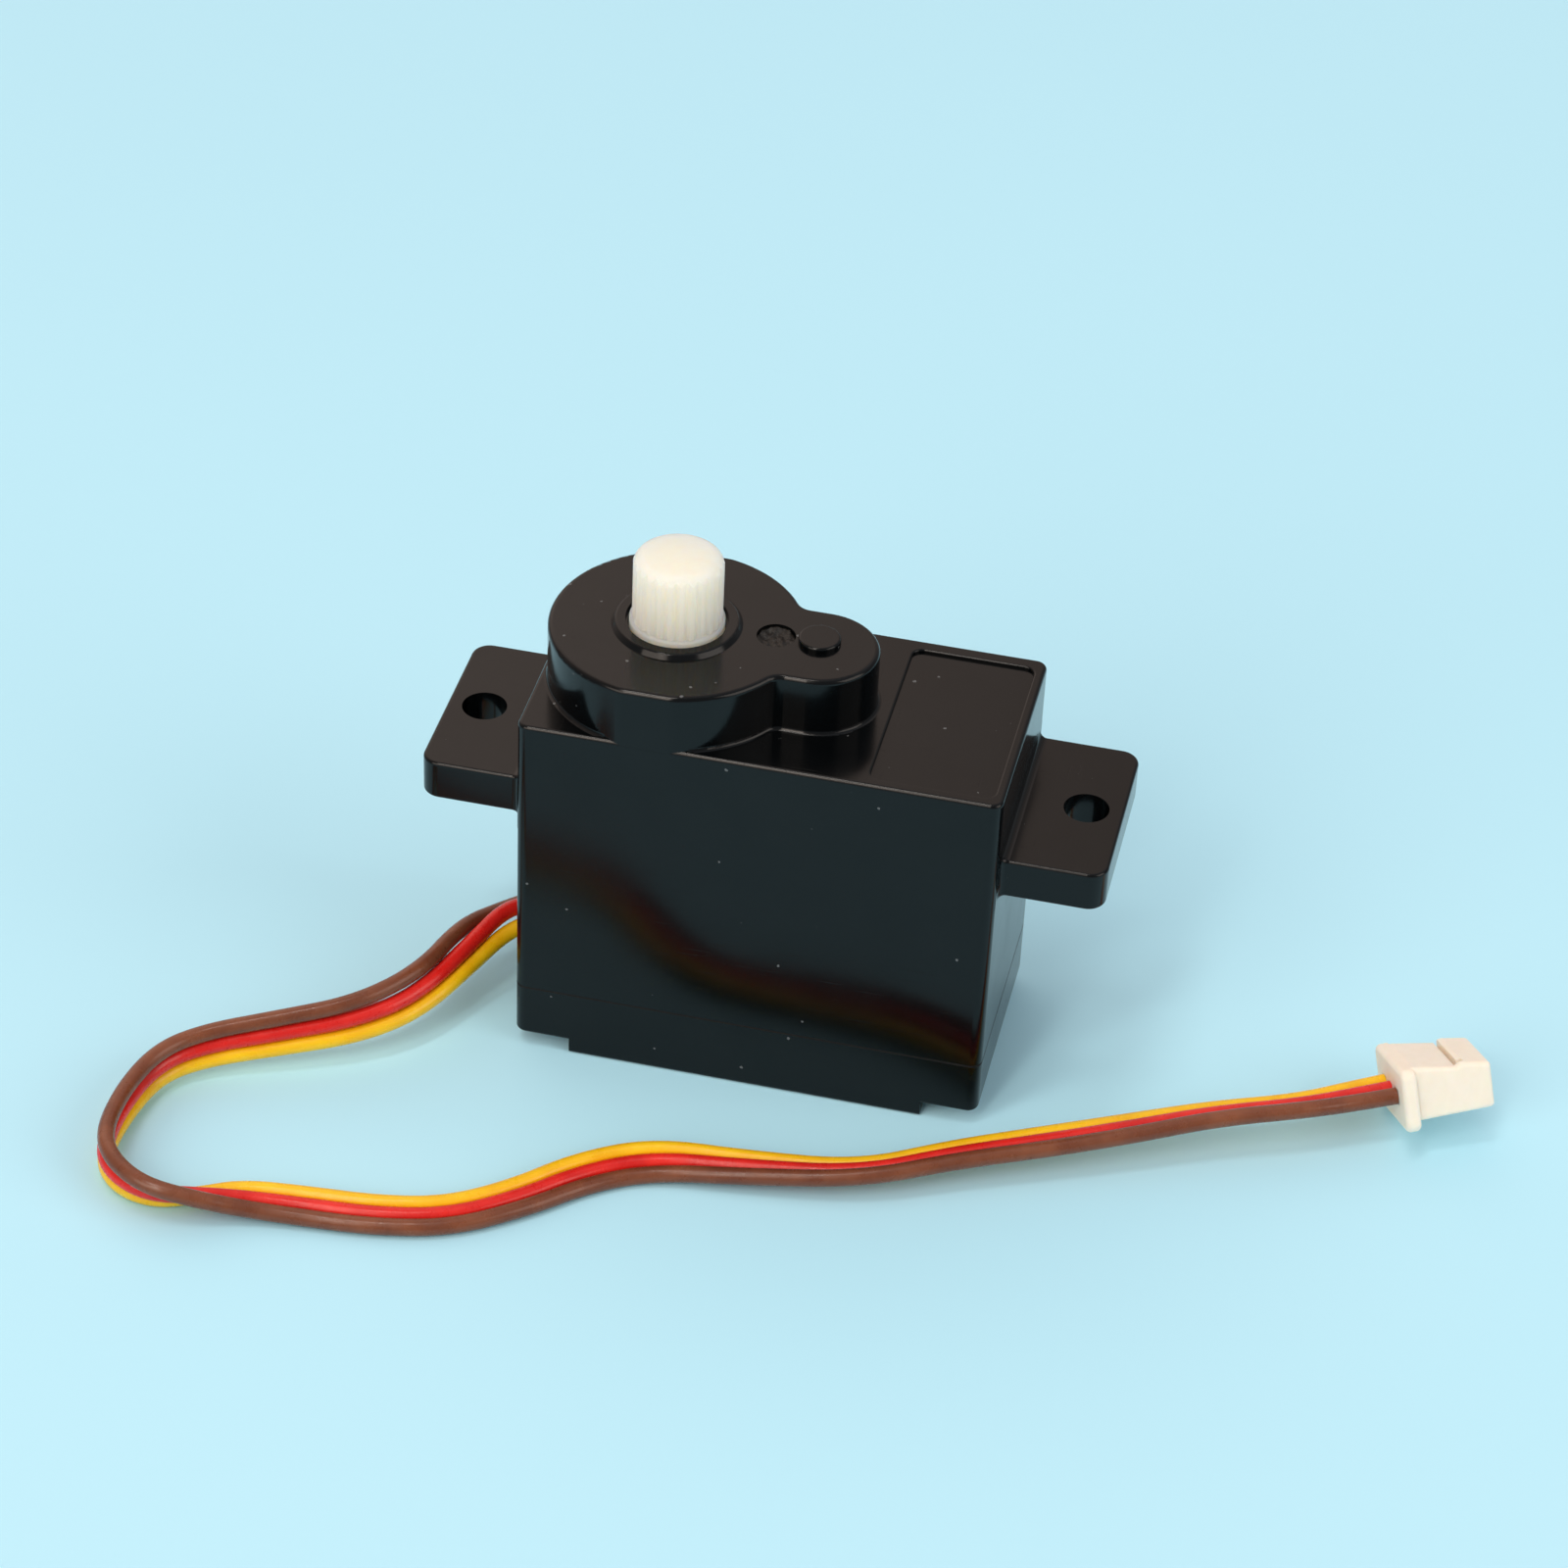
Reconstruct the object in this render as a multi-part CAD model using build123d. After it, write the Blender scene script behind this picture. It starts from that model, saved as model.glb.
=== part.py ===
from build123d import *
import math
import os

# Micro servo: a black two-shell case with mounting ears, a splined output shaft on a
# four-stage spur gear train, a small brushed motor, a feedback potentiometer, a control
# board and a three-wire lead with a small crimp connector.
# Frame: millimetres, +Z up, origin at the centre of the case's underside, +X along the
# case away from the output shaft, -Y the front face. The lead leaves the -X end.

# ---- driving dimensions ---------------------------------------------------------------
CASE_L = 22.9          # case length along X
CASE_W = 11.8          # case width along Y
CASE_TOP = 19.3        # top of the case body
SEAM_Z = 3.65          # joint between the case and its bottom cover
SEAM_EDGE = 0.035      # edge break on both sides of that joint
FOOT_X = 8.7           # half length of the lower foot; the end strips stand higher
FOOT_Z = 0.78          # height of the raised end strips
WALL_Y = 0.8           # side wall
WALL_X = 0.9           # end wall
CEIL_Z = 18.3          # underside of the case's top wall
CORNER_R = 0.55        # vertical corners of the case

EAR_TOP = 15.56        # top of the mounting ears
EAR_T = 2.06
EAR_W = 9.93
EAR_SPAN = 32.78       # tip to tip
EAR_R = 0.9
EAR_COVE = 0.5         # cove where an ear meets the end wall
EAR_HOLE_R = 1.08
EAR_HOLE_X = 14.6      # screw hole centre to case centre

OUT_X = -5.3           # axis A: output shaft, second gear, feedback pot
IDLER_X = 0.7          # axis B: idler pin with the first and third gears
MOTOR_X = 5.575        # axis M: motor

BOSS_R = 6.02          # round boss over the output gear
BOSS_FLAT = 5.89       # it is trimmed level with the case's long sides
BOSS_TOP = 22.3
BOSS_CEIL = 21.3
LOBE_X = 1.5           # lobe beside the boss, over the idler
LOBE_R = 2.83
LIP_R, LIP_RI, LIP_H = 3.08, 2.42, 0.26
LIP_TOP_R = 2.88       # the lip's outer wall leans in to this radius
GATE_X, GATE_Y, GATE_R = -0.62, 0.25, 0.92
DISC_X, DISC_Y, DISC_R, DISC_H = 1.42, 0.35, 1.0, 0.28
PANEL = (5.1, 10.95, -5.3, 5.15)
PANEL_D = 0.17
FOOT_COVE = 0.2        # cove at the foot of the boss

SHAFT_TOP = 26.1
JOURNAL_R = 2.25
JOURNAL_HOLE_R = 2.30
COLLAR_Z = 22.72
SPLINE_TIP, SPLINE_ROOT, SPLINE_N = 2.12, 2.00, 25

PLATE_Z0, PLATE_Z1 = 12.3, 13.2
PRESSURE = 25.0        # gear pressure angle, degrees
M_FAST, M_SLOW = 0.25, 0.30
N_WHEEL, N_PINION, N_MOTOR = 31, 9, 8
BACKLASH = 0.03        # taken off each tooth's thickness

BOARD_Z0, BOARD_Z1 = 1.6, 2.4
WIRE_R = 0.39          # solid wire radius; the insulation is 0.82 mm across
EXIT_Z = 3.70

# ---- helpers --------------------------------------------------------------------------
os.makedirs("parts", exist_ok=True)
names = []


def block(x0, x1, y0, y1, z0, z1):
    return Pos((x0 + x1) / 2, (y0 + y1) / 2, (z0 + z1) / 2) * Box(x1 - x0, y1 - y0, z1 - z0)


def rod(x, y, r, z0, z1):
    return Pos(x, y, (z0 + z1) / 2) * Cylinder(r, z1 - z0)


def plate(face, z0, z1):
    return extrude(Pos(0, 0, z0) * face, z1 - z0)


def rrect(x0, x1, y0, y1, r):
    return Pos((x0 + x1) / 2, (y0 + y1) / 2, 0) * RectangleRounded(x1 - x0, y1 - y0, r)


def soften(part, edges, radii):
    """Rounds the edges with the first radius that the geometry takes."""
    for radius in radii:
        try:
            out = fillet(edges, radius)
            if out.is_valid and abs(out.volume - part.volume) < 0.2 * part.volume:
                return out
        except Exception:
            pass
    print("left sharp:", len(edges), "edges")
    return part


def write(name, shape):
    solids = shape.solids()
    bad = [s for s in solids if not s.is_valid or s.volume <= 0]
    print(name, "solids", len(solids), "volume", round(sum(s.volume for s in solids), 3), "BAD" if bad else "")
    out = solids[0] if len(solids) == 1 else Compound(children=list(solids))
    out.label = name
    export_step(out, f"parts/{name}.step")
    names.append(name)


def gear_face(n, module, turn=0.0):
    """A spur gear outline. Each flank is a chord of the involute on a wheel and two chords
    on a pinion, with a radial part below the base circle."""
    rp = module * n / 2
    ra, rf = rp + 0.8 * module, rp - 1.05 * module
    rb = rp * math.cos(math.radians(PRESSURE))
    inv = lambda a: math.tan(a) - a
    half = (math.pi * module / 2 - BACKLASH) / 2 / rp + inv(math.radians(PRESSURE))

    def ang(r):
        return half - inv(math.acos(min(1.0, rb / max(r, rb))))

    radii = [rf, ra] if n > 20 else [rf, max(rb, rf), (max(rb, rf) + ra) / 2, ra]
    if n <= 20 and rb <= rf:
        radii = [rf, (rf + ra) / 2, ra]
    pts = []
    for k in range(n):
        c = 2 * math.pi * k / n + math.radians(turn)
        for r in radii:
            pts.append((r * math.cos(c - ang(r)), r * math.sin(c - ang(r))))
        for r in reversed(radii):
            pts.append((r * math.cos(c + ang(r)), r * math.sin(c + ang(r))))
    return make_face(Polyline(*pts, close=True))


def gear(x, n, module, z0, z1, turn=0.0):
    return Pos(x, 0, 0) * plate(gear_face(n, module, turn), z0, z1)


# ---- case -----------------------------------------------------------------------------
hx, hy = CASE_L / 2, CASE_W / 2
ix, iy = hx - WALL_X, hy - WALL_Y
columns = [(sx * 9.75, sy * 4.2) for sx in (-1, 1) for sy in (-1, 1)]

body = plate(rrect(-hx, hx, -hy, hy, CORNER_R), SEAM_Z, CASE_TOP)


def at(edge, axis, value, tol=0.02):
    b = edge.bounding_box()
    lo, hi = getattr(b.min, axis), getattr(b.max, axis)
    return abs(lo - value) < tol and abs(hi - value) < tol


def mid(e):
    return e @ 0.5


# ears: free edges rounded first, then a cove all round the root, made on a thin slab that
# lies in the end wall
T0, T1 = EAR_TOP - EAR_T, EAR_TOP
flare = block(hx - 1, hx, -EAR_W / 2 - EAR_COVE, EAR_W / 2 + EAR_COVE, T0 - EAR_COVE - 0.05, T1 + EAR_COVE + 0.05)
tab = plate(rrect(hx - 1.25, EAR_SPAN / 2, -EAR_W / 2, EAR_W / 2, EAR_R), T0, T1)
tab = soften(tab, [e for e in tab.edges() if at(e, "Z", T0) or at(e, "Z", T1)], (0.16, 0.1))
flare += tab
root = [e for e in flare.edges() if at(e, "X", hx) and abs(mid(e).Y) < EAR_W / 2 + 0.02 and T0 - 0.02 < mid(e).Z < T1 + 0.02]
print("ear root edges", len(root))
flare = soften(flare, root, (EAR_COVE, 0.4, 0.3))
flare &= block(hx - 0.02, EAR_SPAN / 2 + 1, -8, 8, T0 - 2, T1 + 2)
flare += tab & block(hx - 0.8, hx, -8, 8, T0 - 1, T1 + 1)
body += flare
body += Rot(0, 0, 180) * flare
rim = [e for e in body.edges() if at(e, "Z", CASE_TOP)]
print("case rim edges", len(rim))
body = soften(body, rim, (0.2, 0.15, 0.1))
foot = [e for e in body.edges() if at(e, "Z", SEAM_Z)]
body = chamfer(foot, SEAM_EDGE)

# boss and lobe share one top; two small plan fillets blend them
slot = Circle(LOBE_R)
outline = Pos(OUT_X, 0) * Circle(BOSS_R) + Pos(LOBE_X, 0) * Circle(LOBE_R) + Pos((OUT_X + LOBE_X) / 2, 0) * Rectangle(LOBE_X - OUT_X, 2 * LOBE_R)
vx = OUT_X + math.sqrt(BOSS_R**2 - LOBE_R**2)
nook = [v for v in outline.vertices() if abs(v.X - vx) < 0.02]
print("lobe nooks", len(nook))
outline = fillet(nook, 0.8)
outline &= Rectangle(40, 2 * BOSS_FLAT)
turns = [v for v in outline.vertices() if abs(abs(v.Y) - BOSS_FLAT) < 0.01]
print("boss flat corners", len(turns))
outline = fillet(turns, 1.6)
boss = plate(outline, CASE_TOP - 0.6, BOSS_TOP)
boss = soften(boss, [e for e in boss.edges() if at(e, "Z", BOSS_TOP)], (0.25, 0.2, 0.15))
body += boss
# the cove at its foot, cut off where the foot reaches the case's rim
foot_ring = block(-20, 20, -15, 15, CASE_TOP - 0.6, CASE_TOP) + plate(outline, CASE_TOP - 0.6, CASE_TOP + 1)
loop = [e for e in foot_ring.edges() if at(e, "Z", CASE_TOP) and abs(mid(e).X) < 15 and abs(mid(e).Y) < 10]
print("boss foot edges", len(loop))
foot_ring = soften(foot_ring, loop, (FOOT_COVE, 0.15))
foot_ring &= plate(rrect(-hx + 0.21, hx - 0.21, -hy + 0.21, hy - 0.21, CORNER_R - 0.21), CASE_TOP - 0.05, CASE_TOP + FOOT_COVE + 0.01)
body += foot_ring

# details on the top
lip = Pos(OUT_X, 0, BOSS_TOP + LIP_H / 2) * Cone(LIP_R, LIP_TOP_R, LIP_H)
lip = soften(lip, [e for e in lip.edges() if at(e, "Z", BOSS_TOP + LIP_H)], (0.14, 0.1))
lip += rod(OUT_X, 0, LIP_R - 0.03, BOSS_TOP - 0.2, BOSS_TOP + 0.01)
body += lip
disc = rod(DISC_X, DISC_Y, DISC_R, BOSS_TOP - 0.2, BOSS_TOP + DISC_H)
disc = soften(disc, [e for e in disc.edges() if at(e, "Z", BOSS_TOP + DISC_H)], (0.12, 0.08))
body += disc
body -= rod(GATE_X, GATE_Y, GATE_R, BOSS_TOP - 0.42, BOSS_TOP + 1)
body -= plate(rrect(*PANEL, 0.5), CASE_TOP - PANEL_D, CASE_TOP + 1)
brim = [e for e in body.edges() if at(e, "Z", CASE_TOP) and PANEL[0] - 0.02 < mid(e).X < PANEL[1] + 0.02 and PANEL[2] - 0.02 < mid(e).Y < PANEL[3] + 0.02]
print("panel brim edges", len(brim))
body = soften(body, brim, (0.1, 0.06))

# hollow: motor bay and gear space, then the taller spaces under the boss and the lobe
hollow = block(-ix, ix, -iy, iy, SEAM_Z - 1, CEIL_Z)
for cx, cy in columns:
    sx, sy = (1 if cx > 0 else -1), (1 if cy > 0 else -1)
    post = rod(cx, cy, 1.0, SEAM_Z - 1, CEIL_Z) + block(min(cx, cx + sx), max(cx, cx + sx), cy - 1.0 * (sy > 0) * 0 - (1.0 if sy < 0 else 0), cy + (1.0 if sy > 0 else 0), SEAM_Z - 1, CEIL_Z)
    hollow -= post
for s in (-1, 1):
    hollow -= block(min(s * 9.9, s * 11), max(s * 9.9, s * 11), -2.0, 2.0, PLATE_Z1, PLATE_Z1 + 0.5)
body -= hollow
body -= rod(OUT_X, 0, 5.1, CEIL_Z - 0.5, BOSS_CEIL)
body -= rod(LOBE_X, 0, 2.1, CEIL_Z - 0.5, BOSS_CEIL) + block(OUT_X, LOBE_X, -2.1, 2.1, CEIL_Z - 0.5, BOSS_CEIL)
body -= rod(OUT_X, 0, JOURNAL_HOLE_R, BOSS_CEIL - 1, BOSS_TOP + 2)
body -= rod(OUT_X, 0, LIP_RI, BOSS_TOP + 0.05, BOSS_TOP + 2)
body -= rod(IDLER_X, 0, 0.5, BOSS_CEIL - 0.5, 21.65)
for cx, cy in columns:
    body -= rod(cx, cy, 0.6, SEAM_Z - 1, 10.5)
for s in (-1, 1):
    body -= rod(s * EAR_HOLE_X, 0, EAR_HOLE_R, 12, 17)
body -= block(-12, -10, -1.36, 1.36, SEAM_Z - 1, 4.22)
write("upper_case", body)

# ---- bottom cover ----------------------------------------------------------------------
cover = plate(rrect(-hx, hx, -hy, hy, CORNER_R), 0, SEAM_Z)
cover = chamfer([e for e in cover.edges() if at(e, "Z", SEAM_Z)], SEAM_EDGE)
for s in (-1, 1):
    cover -= block(min(s * FOOT_X, s * 12), max(s * FOOT_X, s * 12), -7, 7, -1, FOOT_Z)
low = [e for e in cover.edges() if at(e, "Z", 0) or at(e, "Z", FOOT_Z)]
outer = [e for e in low if not (at(e, "X", FOOT_X) or at(e, "X", -FOOT_X))]
cover = soften(cover, outer, (0.2, 0.15, 0.1))
inside = block(-ix, ix, -iy, iy, BOARD_Z0, SEAM_Z + 1) + block(-7.9, 7.9, -iy, iy, 0.9, BOARD_Z0 + 0.5)
for cx, cy in columns:
    sx, sy = (1 if cx > 0 else -1), (1 if cy > 0 else -1)
    inside -= rod(cx, cy, 1.0, 0, SEAM_Z + 2) + block(min(cx, cx + sx), max(cx, cx + sx), min(cy, cy + sy), max(cy, cy + sy), 0, SEAM_Z + 2)
cover -= inside
for cx, cy in columns:
    cover -= rod(cx, cy, 0.7, -1, SEAM_Z + 1)
cover -= block(-12, -10, -1.36, 1.36, 3.18, SEAM_Z + 1)
write("bottom_cover", cover)

screws = None
for cx, cy in columns:
    head = rod(cx, cy, 0.95, 0.16, FOOT_Z)
    head = soften(head, [e for e in head.edges() if at(e, "Z", 0.16)], (0.2, 0.1))
    one = head + rod(cx, cy, 0.6, FOOT_Z, 9.6)
    one -= block(cx - 0.6, cx + 0.6, cy - 0.11, cy + 0.11, 0, 0.42)
    one -= block(cx - 0.11, cx + 0.11, cy - 0.6, cy + 0.6, 0, 0.42)
    screws = one if screws is None else Compound(children=[*screws.solids(), *one.solids()])
write("case_screws", screws)

# ---- gear train -------------------------------------------------------------------------
gp = block(-10.45, 10.45, -5.0, 5.0, PLATE_Z0, PLATE_Z1)
for cx, cy in columns:
    sx, sy = (1 if cx > 0 else -1), (1 if cy > 0 else -1)
    gp -= block(min(sx * 8.62, sx * 12), max(sx * 8.62, sx * 12), min(sy * 3.07, sy * 6), max(sy * 3.07, sy * 6), 12, 14)
gp -= rod(MOTOR_X, 0, 1.66, 12, 14)
gp -= rod(OUT_X, 0, 0.65, 12, 14)
gp -= rod(IDLER_X, 0, 0.5, 12.45, 14)
write("gear_plate", gp)

splines = []
step = 2 * math.pi / SPLINE_N
for k in range(SPLINE_N):
    for f, r in ((-0.42, SPLINE_ROOT), (-0.17, SPLINE_TIP), (0.17, SPLINE_TIP), (0.42, SPLINE_ROOT)):
        splines.append((r * math.cos((k + f) * step), r * math.sin((k + f) * step)))
spline = plate(make_face(Polyline(*splines, close=True)), COLLAR_Z - 0.4, SHAFT_TOP)
envelope = rod(0, 0, SPLINE_TIP + 0.02, COLLAR_Z - 0.6, SHAFT_TOP)
envelope = soften(envelope, [e for e in envelope.edges() if at(e, "Z", SHAFT_TOP)], (0.55, 0.5))
spline = spline & envelope
journal = rod(OUT_X, 0, JOURNAL_R, 20.9, COLLAR_Z)
journal = soften(journal, [e for e in journal.edges() if at(e, "Z", COLLAR_Z)], (0.12, 0.08))
og = gear(OUT_X, N_WHEEL, M_SLOW, 18.5, 20.1) + rod(OUT_X, 0, 3.0, 20.0, 21.2) + journal + Pos(OUT_X, 0, 0) * spline
og -= rod(OUT_X, 0, 0.55, 18, 20.0)
write("output_gear_shaft", og)

write("idler_pin", rod(IDLER_X, 0, 0.5, 12.45, 21.65))


def cluster(x, mw, z0, z1, mp, z2, bore, name):
    part = gear(x, N_WHEEL, mw, z0, z1) + gear(x, N_PINION, mp, z1 - 0.05, z2)
    part -= rod(x, 0, bore, z0 - 1, z2 + 1)
    ring = rod(x, 0, (M_FAST if mw == M_FAST else M_SLOW) * N_WHEEL / 2 - 0.85, z0 - 0.5, z0 + 0.3) - rod(x, 0, 1.75, z0 - 1, z1)
    part -= ring
    write(name, part)


cluster(IDLER_X, M_FAST, 13.5, 14.7, M_SLOW, 16.5, 0.54, "first_gear")
cluster(OUT_X, M_SLOW, 15.1, 16.3, M_SLOW, 18.1, 0.60, "second_gear")
cluster(IDLER_X, M_SLOW, 16.7, 17.9, M_SLOW, 20.3, 0.54, "third_gear")

# ---- motor ------------------------------------------------------------------------------
FLAT = 4.1


def can_face(r, flat):
    return Circle(r) & Rectangle(2 * r + 1, 2 * flat)


can = plate(can_face(4.8, FLAT), 3.4, 12.3)
can = soften(can, [e for e in can.edges() if at(e, "Z", 12.3)], (0.3, 0.2))
can -= plate(can_face(4.35, FLAT - 0.45), 3.0, 11.85)
can += rod(0, 0, 1.6, 12.2, 13.0)
can -= rod(0, 0, 1.0, 11, 14)
write("motor_can", Pos(MOTOR_X, 0, 0) * can)
bush = rod(MOTOR_X, 0, 1.0, 11.6, 13.05) - rod(MOTOR_X, 0, 0.42, 11, 14)
write("motor_front_bushing", bush)
write("motor_shaft", rod(MOTOR_X, 0, 0.4, 3.9, 15.0))
mp = gear(MOTOR_X, N_MOTOR, M_FAST, 13.4, 15.0, 22.5) - rod(MOTOR_X, 0, 0.4, 13, 16)
write("motor_pinion", mp)


def arc_face(r0, r1, mid, half):
    """A ring sector about the origin, from angle mid-half to mid+half."""
    a, b = math.radians(mid - half), math.radians(mid + half)
    m = math.radians(mid)
    p = lambda r, t: (r * math.cos(t), r * math.sin(t))
    wire = Wire([ThreePointArc(p(r1, a), p(r1, m), p(r1, b)), Line(p(r1, b), p(r0, b)), ThreePointArc(p(r0, b), p(r0, m), p(r0, a)), Line(p(r0, a), p(r1, a))])
    return make_face(wire)


mags = [Pos(MOTOR_X, 0, 0) * plate(arc_face(3.3, 4.35, t, 48), 5.3, 11.5) for t in (0, 180)]
write("motor_magnets", Compound(children=[m.solid() for m in mags]))
core = rod(0, 0, 1.0, 5.9, 10.9)
coils = []
for t in (90, 210, 330):
    arm = Rot(0, 0, t) * block(0.8, 2.4, -0.45, 0.45, 5.9, 10.9)
    shoe = plate(arc_face(2.35, 3.05, t, 50), 5.9, 10.9)
    core += arm
    core += shoe
    coil = block(1.16, 2.12, -0.95, 0.95, 5.5, 11.3)
    coil = soften(coil, [e for e in coil.edges() if abs(e.center().Y) > 0.9 and (abs(e.center().Z - 5.5) < 0.01 or abs(e.center().Z - 11.3) < 0.01)], (0.35, 0.2))
    coil -= block(0.5, 3, -0.45, 0.45, 5.9, 10.9)
    coils.append(Pos(MOTOR_X, 0, 0) * Rot(0, 0, t) * coil)
core -= rod(0, 0, 0.4, 5, 12)
write("armature_core", Pos(MOTOR_X, 0, 0) * core)
write("armature_windings", Compound(children=[c.solid() for c in coils]))
comm = rod(0, 0, 0.95, 4.3, 5.3) - rod(0, 0, 0.4, 4, 6)
for t in (30, 150, 270):
    comm -= Rot(0, 0, t) * block(0.75, 1.2, -0.07, 0.07, 4, 6)
write("commutator", Pos(MOTOR_X, 0, 0) * comm)
cap = plate(can_face(4.35, FLAT - 0.45), 3.4, 4.2) + plate(can_face(4.8, FLAT), 3.2, 3.4) + rod(0, 0, 1.2, 3.0, 3.3)
cap -= rod(0, 0, 0.42, 3.6, 5)
for s in (-1, 1):
    cap -= block(min(s * 2.45, s * 2.75), max(s * 2.45, s * 2.75), -0.45, 0.45, 2, 5)
write("motor_end_cap", Pos(MOTOR_X, 0, 0) * cap)
brushes, tabs = [], []
for s in (-1, 1):
    b = block(min(s * 1.0, s * 1.2), max(s * 1.0, s * 1.2), -0.5, 0.5, 4.4, 5.2) + block(min(s * 1.1, s * 1.2), max(s * 1.1, s * 1.2), -0.5, 0.5, 4.2, 4.5) + block(min(s * 1.1, s * 2.45), max(s * 1.1, s * 2.45), -0.4, 0.4, 4.2, 4.35)
    brushes.append(Pos(MOTOR_X, 0, 0) * b)
    tabs.append(Pos(MOTOR_X, 0, 0) * block(min(s * 2.45, s * 2.75), max(s * 2.45, s * 2.75), -0.45, 0.45, BOARD_Z1, 4.5))
write("motor_brushes", Compound(children=[b.solid() for b in brushes]))
write("motor_terminals", Compound(children=[t.solid() for t in tabs]))

# ---- feedback potentiometer ---------------------------------------------------------------
pot = rod(0, 0, 4.2, 8.3, PLATE_Z0)
pot = soften(pot, [e for e in pot.edges() if at(e, "Z", PLATE_Z0)], (0.2, 0.1))
pot -= rod(0, 0, 3.8, 8.0, 11.6)
pot -= rod(0, 0, 0.6, 8, 13)
write("pot_housing", Pos(OUT_X, 0, 0) * pot)
track = rod(0, 0, 3.8, 8.3, 9.0) - rod(0, 0, 0.6, 8, 10)
track -= rod(0, 0, 3.3, 8.95, 9.1) - rod(0, 0, 2.2, 8.9, 9.2)
write("pot_track", Pos(OUT_X, 0, 0) * track)
wiper = rod(0, 0, 1.3, 9.7, 10.7) + block(0, 3.1, -0.55, 0.55, 9.55, 9.8) + block(2.45, 3.05, -0.5, 0.5, 9.03, 9.6)
wiper -= rod(0, 0, 0.55, 9, 11)
write("pot_wiper", Pos(OUT_X, 0, 0) * wiper)
write("pot_shaft", rod(OUT_X, 0, 0.55, 7.4, 20.0))
legs = [block(-3.0, -2.6, y - 0.3, y + 0.3, BOARD_Z1, 8.3) for y in (-2.0, 0.0, 2.0)]
write("pot_terminals", Compound(children=[leg.solid() for leg in legs]))

# ---- control board -------------------------------------------------------------------------
pcb = block(-9.9, 9.9, -4.95, 4.95, BOARD_Z0, BOARD_Z1)
for cx, cy in columns:
    sx, sy = (1 if cx > 0 else -1), (1 if cy > 0 else -1)
    pcb -= block(min(sx * 8.6, sx * 12), max(sx * 8.6, sx * 12), min(sy * 3.05, sy * 6), max(sy * 3.05, sy * 6), 0, 4)
write("control_board", pcb)
write("driver_ic", block(-2.2, 2.2, -2.2, 2.2, 1.0, BOARD_Z0))
chips = []
for x, y, w, d, h in ((-6.6, 3.3, 1.6, 0.8, 0.75), (-6.6, -3.3, 1.6, 0.8, 0.75), (-4.2, 3.3, 1.6, 0.8, 0.75), (-4.3, -3.4, 2.9, 1.3, 0.8), (-0.2, 3.5, 2.9, 1.3, 0.8), (-0.3, -3.6, 1.0, 0.5, 0.4), (1.4, -3.6, 1.0, 0.5, 0.4), (-0.4, 0.0, 2.0, 1.25, 0.7), (3.4, 3.6, 1.0, 0.5, 0.4), (5.4, 3.6, 1.0, 0.5, 0.4), (5.5, -3.5, 1.6, 0.8, 0.7)):
    chips.append(block(x - w / 2, x + w / 2, y - d / 2, y + d / 2, BOARD_Z1, BOARD_Z1 + h))
write("board_parts", Compound(children=[c.solid() for c in chips]))


# ---- lead ----------------------------------------------------------------------------------
def tube(name, points, radius, ratio=0.45, quiet=False):
    """A round tube along straight runs joined by tangent arcs. Each arc's radius is 0.45 of
    its shorter run over the tangent of half the turn."""
    pts = [Vector(*p) for p in points]
    runs = [(b - a).length for a, b in zip(pts, pts[1:])]
    radii, turns = [], []
    for i in range(1, len(pts) - 1):
        turn = (pts[i] - pts[i - 1]).get_angle(pts[i + 1] - pts[i])
        turns.append(turn)
        radii.append(ratio * min(runs[i - 1], runs[i]) / math.tan(math.radians(turn / 2)))
    path = FilletPolyline(*pts, radius=radii)
    section = Plane(origin=pts[0], z_dir=pts[1] - pts[0]) * Circle(radius)
    solid = sweep(section, path=path)
    ideal = math.pi * radius**2 * path.length
    print(name, "path length", round(path.length, 2), "volume / ideal", round(solid.volume / ideal, 5))
    if not quiet:
        print("  arc radii", [round(r, 2) for r in radii])
        print("  turns", [round(t, 1) for t in turns])
    return solid


tails = []
for y in (-0.85, 0.0, 0.85):
    tails.append(tube("lead tail", [(-8.6, y, BOARD_Z1), (-8.6, y, EXIT_Z), (-10.6, y, EXIT_Z)], WIRE_R, quiet=True))
write("lead_tails", Compound(children=[t.solid() for t in tails]))

# The connector's own frame: origin at the centre of its wire face, x along it towards the
# mating end, y across the contacts, z its height. It lies with one flange corner down.
YAW, PITCH, ROLL = math.radians(24.6), math.radians(6.6), math.radians(22.3)
CON = (30.55, -0.60, 2.36)
CAX = Vector(math.cos(YAW) * math.cos(PITCH), math.sin(YAW) * math.cos(PITCH), math.sin(PITCH))
SIDE = Vector(math.sin(YAW), -math.cos(YAW), 0)
UPN = Vector(-math.cos(YAW) * math.sin(PITCH), -math.sin(YAW) * math.sin(PITCH), math.cos(PITCH))
SIDE2 = SIDE * math.cos(ROLL) + UPN * math.sin(ROLL)
UP2 = UPN * math.cos(ROLL) - SIDE * math.sin(ROLL)
con_plane = Plane(origin=CON, x_dir=CAX, z_dir=UP2)
PITCH_C = 1.0


def con_point(x, y):
    v = Vector(*CON) + CAX * x - SIDE2 * y
    return (v.X, v.Y, v.Z)


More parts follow.
